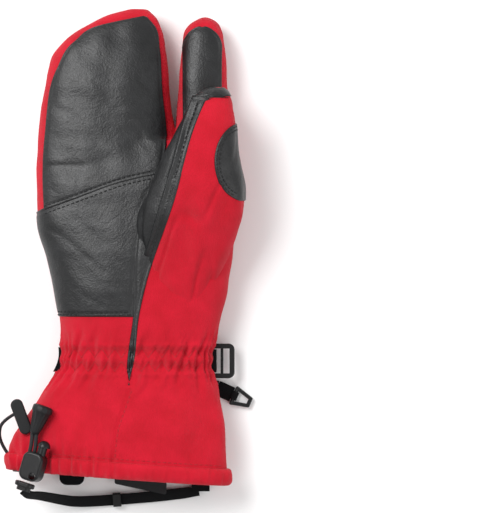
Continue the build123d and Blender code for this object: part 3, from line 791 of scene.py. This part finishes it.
wrap_leather, wrap_mesh = thumb_leather_panel()
bend(wrap_leather)
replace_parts(wrap_leather, "thumb_leather")


def nose_patch():
    """The half-oval wiping patch on the thumb's outer side."""
    low, tall = PATCH_Y - PATCH_HALF_Y + 0.3, 2 * PATCH_HALF_Y - 0.6
    rows = low + spread(tall, 1.0)
    share = spread(1.0, 1.0 / 44, edge=(0.0, 0.008, 0.02, 0.035, 0.05))
    pts = []
    for y in rows:
        start = float(angle_at("thumb", float(patch_x(y)), y))
        end = PATCH_PAST * max(math.sin(math.pi * (y - low) / tall), 0) ** 0.5
        pts.append(on_form("thumb", np.full(len(share), y), start + (end - start) * share, 0.3))
    at, normal = nearest(thumb_tree, np.concatenate(pts))
    across = along_rows(at.reshape(len(rows), len(share), 3))
    to_end = np.minimum(rows - rows[0], rows[-1] - rows)[:, None]
    inward = np.minimum(np.minimum(across, across[:, -1:] - across), to_end).reshape(-1)
    lift = -TUCK + 1.5 * smooth_step(inward, 0, EDGE_WIDE) + 0.3 * (1 - np.exp(-inward / 5))
    out = at + normal * lift[:, None]
    faces = faced_along(out, grid_faces(len(rows), len(share)), normal)
    return new_object("nose_wipe_patch", out, faces, LEATHER), (out, faces)


patch, patch_mesh = nose_patch()
bend(patch)
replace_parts(patch, "thumb_patch")


# ---- stitching -----------------------------------------------------------------------------------
def offset_line(points, distance):
    """A plan line beside another, to its left for a positive distance."""
    pts = polyline(points, 1.0)
    d = np.gradient(pts, axis=0)
    d /= np.linalg.norm(d, axis=1)[:, None]
    return pts + distance * np.stack([-d[:, 1], d[:, 0]], -1)


def stitch_row(name, tree, line, mat, place, length=2.3, gap=1.0, radius=0.3, lift=0.12):
    """Separate stitches laid along a plan line on a surface, as one object."""
    surface, normal = drop(tree, polyline(line, 0.35))
    ok = ~np.isnan(surface[:, 0])
    surface, normal = surface[ok], normal[ok]
    s = np.concatenate([[0], np.cumsum(np.linalg.norm(np.diff(surface, axis=0), axis=1))])
    angle = np.linspace(0, 2 * math.pi, STITCH_SIDES, endpoint=False)
    verts, faces, at = [], [], 0.0
    while at + length < s[-1]:
        where = at + length * STITCH_AT
        mid = np.stack([np.interp(where, s, surface[:, k]) for k in range(3)], -1)
        up = np.stack([np.interp(where, s, normal[:, k]) for k in range(3)], -1)
        up /= np.linalg.norm(up, axis=1)[:, None]
        mid = mid + up * (lift + STITCH_DIP)[:, None]
        along = mid[-1] - mid[0]
        along /= np.linalg.norm(along)
        out = np.cross(along, up)
        ring = out[:, None] * np.cos(angle)[None, :, None] + up[:, None] * np.sin(angle)[None, :, None]
        base = len(verts) * len(STITCH_AT) * STITCH_SIDES
        faces += [tuple(i + base for i in face) for face in tube_faces(len(STITCH_AT), STITCH_SIDES)]
        verts.append((mid[:, None] + ring * (radius * STITCH_SWELL)[:, None, None]).reshape(-1, 3))
        at += length + gap
    return bend(new_object(name, np.concatenate(verts), faces, mat))


def black_stitches(name, mesh, line, place, length=2.3):
    stitch_row(name, tree_of(*mesh), line, THREAD, place, length=length, **BLACK_STITCH)


seam_line = [(x, float(seam_height(x))) for x in (-56, -45, -30, -15, 0, 10, 16)]
heel_line = [(-47.0, -42.0), (-20, -42.2), (2.4, -41.9)]
patch_ys = np.linspace(PATCH_Y + PATCH_HALF_Y - 1.5, PATCH_Y - PATCH_HALF_Y + 1.5, 15)
patch_line = [(float(patch_x(y)), y) for y in patch_ys]
hem_line = [(x, HEM_MID_Y - math.tan(HEM_TILT) * x + HEM_HALF + 2.0) for x in range(-58, 63, 6)]
black_stitches("seam_stitches_upper", upper_mesh, offset_line(seam_line, 3.4), MITT_BEND)
black_stitches("seam_stitches_lower", heel_mesh, offset_line(seam_line, -1.4), WRIST_BEND)
black_stitches("heel_stitches_low", heel_mesh, heel_line, WRIST_BEND)
black_stitches("heel_stitches_high", heel_mesh, offset_line(heel_line, 2.0), WRIST_BEND)
black_stitches("patch_stitches_outer", patch_mesh, offset_line(patch_line, 1.8), THUMB_BEND, length=2.0)
black_stitches("patch_stitches_inner", patch_mesh, offset_line(patch_line, 3.8), THUMB_BEND, length=2.0)
black_stitches("ridge_stitches", wrap_mesh, offset_line(RIDGE, -2.4), THUMB_BEND)
stitch_row("cuff_seam_stitches", body_tree, offset_line(CUFF_SEAM, 1.6), RED_THREAD, WRIST_BEND)
stitch_row("hem_stitches", body_tree, hem_line, RED_THREAD, WRIST_BEND, length=2.6, gap=0.9)


def zigzag(name, y_mid, phase):
    """One row of the elastic's zigzag stitching, round the palm side of the wrist."""
    corners = zigzag_line(y_mid, phase)
    parts = []
    for a, b in zip(corners, corners[1:]):
        pts = np.stack([np.linspace(a[k], b[k], 14) for k in (0, 1)], -1)
        at, n = drop(body_tree, pts)
        if not np.isnan(at).any():
            middle_line = at + ZIGZAG_LIFT * n
            parts.append(round_tube(f"{name}_{len(parts)}", middle_line, ZIGZAG_RADIUS, RED_THREAD, 6))
    return bend(join(parts, name))


for row_name, (row_y, row_phase) in zip(("zigzag_upper", "zigzag_lower"), ZIGZAG_ROWS):
    zigzag(row_name, row_y, row_phase)


# ---- hem, lining and what hangs from the cuff ----------------------------------------------------
def hem_point(angle, out, along):
    """A point of the hem: round the cuff, outwards from it and along it."""
    middle_x = on_form("body", HEM_MID_Y + 0 * angle, angle)[:, 0]
    y = HEM_MID_Y - np.tan(HEM_TILT) * middle_x + along
    at = on_form("body", np.clip(y, BODY[0][0], 0), angle, out)
    return np.stack([at[:, 0], y, np.maximum(at[:, 2], FLOOR_GAP)], -1)


def hem_ring():
    """The rolled hem: a fat band round the cuff with drawcord tucks."""
    angle = np.linspace(0, 2 * math.pi, HEM_AROUND, endpoint=False)
    rings = []
    for turn in np.linspace(0, 2 * math.pi, HEM_TURNS, endpoint=False):
        c, s = math.cos(turn), math.sin(turn)
        along = HEM_HALF * math.copysign(abs(s) ** 0.85, s)
        out = HEM_OUT * math.copysign(abs(c) ** 0.9, c) - 0.2
        base = hem_point(angle, 0 * angle + out, along)
        tuck = hem_puckers(base, 1.0 if c > -0.2 else 0.2)
        rings.append(hem_point(angle, out + tuck + 0.35 * Waves(51, 30, 6)(base), along))
    rings.append(rings[0])
    faces = grid_faces(len(rings), HEM_AROUND, wrap=True) % (HEM_TURNS * HEM_AROUND)
    return close_body(new_object("rolled_hem", np.concatenate(rings[:-1]), faces, RED))


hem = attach(hem_ring(), "cuff")
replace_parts(hem, "hem_band", "hem_drawcord")


def lining_tube():
    """The fleece lining, open at the cuff and closed deep in the hand."""
    ys = np.arange(-148, 50, 3.0)
    angle = np.linspace(0, 2 * math.pi, LINING_AROUND, endpoint=False)
    rows = []
    for i, y in enumerate(ys):
        inset = -3.4 - 2.0 * float(smooth_step(y, -100, -40))
        ring = on_form("body", y + 0 * angle, angle, inset)
        if i == 0:
            ring[:, 1] = y - np.tan(HEM_TILT) * ring[:, 0]
        rows.append(ring + 0.5 * Waves(61, 26, 6)(ring)[:, None] * np.array([0, 0, 1]))
    verts = np.concatenate(rows)
    faces = [tuple(f) for f in grid_faces(len(ys), LINING_AROUND, wrap=True)]
    faces.append(tuple(range((len(ys) - 1) * LINING_AROUND, len(ys) * LINING_AROUND)))
    return new_object("fleece_lining", verts, faces, LINING)


lining = bend(lining_tube())
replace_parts(lining, "cuff_lining", "hand_lining")
for compartment, node in ((mitt, "mitt_lining"), (index, "index_lining"), (thumb, "thumb_lining")):
    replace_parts(compartment, node)


def curve_object(name, route, diameter, mat):
    """A round cord through its route's corner points."""
    data = bpy.data.curves.new(name, "CURVE")
    data.dimensions = "3D"
    data.bevel_depth = diameter / 2 * MM
    data.bevel_resolution = 4
    data.use_fill_caps = True
    line = data.splines.new("NURBS")
    line.points.add(len(route) - 1)
    for point, at in zip(line.points, route):
        point.co = (*(c * MM for c in at), 1)
    line.order_u = 3
    line.use_endpoint_u = True
    line.resolution_u = 16
    data.materials.append(mat)
    obj = bpy.data.objects.new(name, data)
    bpy.context.scene.collection.objects.link(obj)
    return obj


def corner_curve(route, share=0.5, steps=10):
    """The points of a route whose corners are rounded by quadratic curves."""
    pts = [np.array(p, float) for p in route]
    out = [pts[0]]
    for a, b, c in zip(pts, pts[1:], pts[2:]):
        start, end = b + (a - b) * share, b + (c - b) * share
        for t in np.linspace(0, 1, steps):
            out.append((1 - t) ** 2 * start + 2 * t * (1 - t) * b + t**2 * end)
    out.append(pts[-1])
    keep = [out[0]]
    for p in out[1:]:
        if np.linalg.norm(p - keep[-1]) > 0.2:
            keep.append(p)
    return np.array(keep)


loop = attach(curve_object("drawcord_loop_cord", LOOP_ROUTE, LOOP_DIAMETER, CORD), "cuff")
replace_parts(loop, "drawcord_loop")


def leash_strap():
    """The flat elastic leash below the hem, turning on edge as it rises to the cord lock."""
    line = polyline(corner_curve(LEASH_ROUTE), 0.8)
    share = np.linspace(0, 1, len(line))
    turn = smooth_step(share, 0.62, 0.97)[:, None]
    up = (1 - turn) * np.array([0.0, -0.30, 0.95]) + turn * np.array([0.55, -0.75, 0.25])
    half = LEASH_HALF_WIDE - 1.2 * smooth_step(share, 0.9, 1.0) - 0.6 * (1 - smooth_step(share, 0.0, 0.08))
    top = [(-1.0, 0.0), (-0.97, 0.5), (-0.86, 0.85), (0.0, 1.0), (0.86, 0.85), (0.97, 0.5)]
    profile = top + [(-u, -v) for u, v in top]
    across, over = along_and_across(line, up)
    verts = []
    for i in range(len(line)):
        for u, v in profile:
            verts.append(line[i] + across[i] * u * half[i] + over[i] * v * LEASH_HALF_THICK)
    return new_object("leash_strap", verts, tube_faces(len(line), len(profile)), WEBBING), line


leash, leash_line = leash_strap()
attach(leash, "cuff")
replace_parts(leash, "leash_webbing")


def ribbed_end():
    """The bell-shaped cord end with moulded ribs and a flat top, as rings of (radius, height)."""
    axis = np.array([0.32, 0.94, -0.02])
    axis /= np.linalg.norm(axis)
    first = np.cross(axis, [0, 0, 1.0])
    first /= np.linalg.norm(first)
    second = np.cross(first, axis)
    profile = [(0, 0), (2.2, 0), (2.9, 0.6), (3.3, 2), (4.1, 6), (5.0, 10.5), (5.7, 14.2), (5.9, 14.5),
               (6.3, 14.9), (6.5, 15.6), (6.5, 18.2), (6.2, 19.0), (5.4, 19.4), (4.2, 19.5),
               (4.0, 18.9), (0, 18.9)]
    angle = np.linspace(0, 2 * math.pi, CORD_END_AROUND, endpoint=False)
    verts = []
    for r, h in profile:
        ribbed = 2 < h < 14.3 or 15.2 < h < 18.6
        ribs = RIB_HIGH * np.clip(np.cos(angle * RIBS), -0.4, 1) if ribbed else 0 * angle
        size = (r + ribs) * (1 - 0.12 * np.abs(np.sin(angle)) if h < 14 else 1)
        verts.append(CORD_END_TIP + axis * h + (size * np.cos(angle))[:, None] * first
                     + (size * np.sin(angle))[:, None] * second)
    faces = grid_faces(len(profile), CORD_END_AROUND, wrap=True)
    return close_body(new_object("ribbed_cord_end", np.concatenate(verts), faces, RUBBER), merge=True)


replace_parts(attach(ribbed_end(), "cuff"), "cord_end")

NODE_MATERIALS = (
    (WEBBING, ("wrist_strap", "strap_anchor", "strap_loop", "strap_tail", "tail_root", "pull_on_tab",
               "leash_anchor")),
    (LABEL, ("blank_label",)),
    (PLASTIC, ("lock_body", "leash_cap", "ladder_lock", "tail_ring", "leash_slider", "lock_button")),
    (STEEL, ("lock_spring",)),
    (CORD, ("leash_cord_left", "leash_cord_right")),
    (RUBBER, ("drawcord_pull",)),
)
for mat, names in NODE_MATERIALS:
    for node in names:
        NODES[node].data.materials.clear()
        NODES[node].data.materials.append(mat)

# ---- floor, light and camera ---------------------------------------------------------------------
FLOOR_HALF, SKY_STRENGTH = 3, 0.62                     # metres, and the world's light
VIEW_FROM, VIEW_PLANE, VIEW_TALL = 2200.0, 20.0, 338.6      # camera height, plane in scale, field height
VIEW_X, VIEW_Y = 79.4, -3.6                            # what the camera stands over
SENSOR_WIDE = 36

floor_mesh = bpy.data.meshes.new("floor")
corners = [(-FLOOR_HALF, -FLOOR_HALF, 0), (FLOOR_HALF, -FLOOR_HALF, 0),
           (FLOOR_HALF, FLOOR_HALF, 0), (-FLOOR_HALF, FLOOR_HALF, 0)]
floor_mesh.from_pydata(corners, [], [(0, 1, 2, 3)])
floor = bpy.data.objects.new("floor", floor_mesh)
bpy.context.scene.collection.objects.link(floor)
floor_mesh.materials.append(material("floor_paper", (0.93, 0.93, 0.93), 0.9))

world = bpy.data.worlds.new("studio")
bpy.context.scene.world = world
world.use_nodes = True
world.node_tree.nodes["Background"].inputs["Color"].default_value = (1, 1, 1, 1)
world.node_tree.nodes["Background"].inputs["Strength"].default_value = SKY_STRENGTH


def area_light(name, at, energy, size):
    """A soft box that looks at the mitten."""
    data = bpy.data.lights.new(name, "AREA")
    data.energy, data.size = energy, size
    obj = bpy.data.objects.new(name, data)
    obj.location = at
    obj.rotation_euler = (Vector((0, 0, 0.02)) - Vector(at)).to_track_quat("-Z", "Y").to_euler()
    bpy.context.scene.collection.objects.link(obj)


area_light("key", (-0.6, 0.5, 1.05), 16, 0.7)
area_light("fill", (0.9, -0.5, 1.0), 5, 0.9)

camera_data = bpy.data.cameras.new("camera")
camera_data.sensor_width = SENSOR_WIDE
camera_data.lens = camera_data.sensor_width * (VIEW_FROM - VIEW_PLANE) / VIEW_TALL
camera_data.clip_end = 20
camera = bpy.data.objects.new("camera", camera_data)
camera.location = (VIEW_X * MM, VIEW_Y * MM, VIEW_FROM * MM)
bpy.context.scene.collection.objects.link(camera)
bpy.context.scene.camera = camera
bpy.context.scene.view_settings.view_transform = "Standard"

bpy.context.view_layer.update()
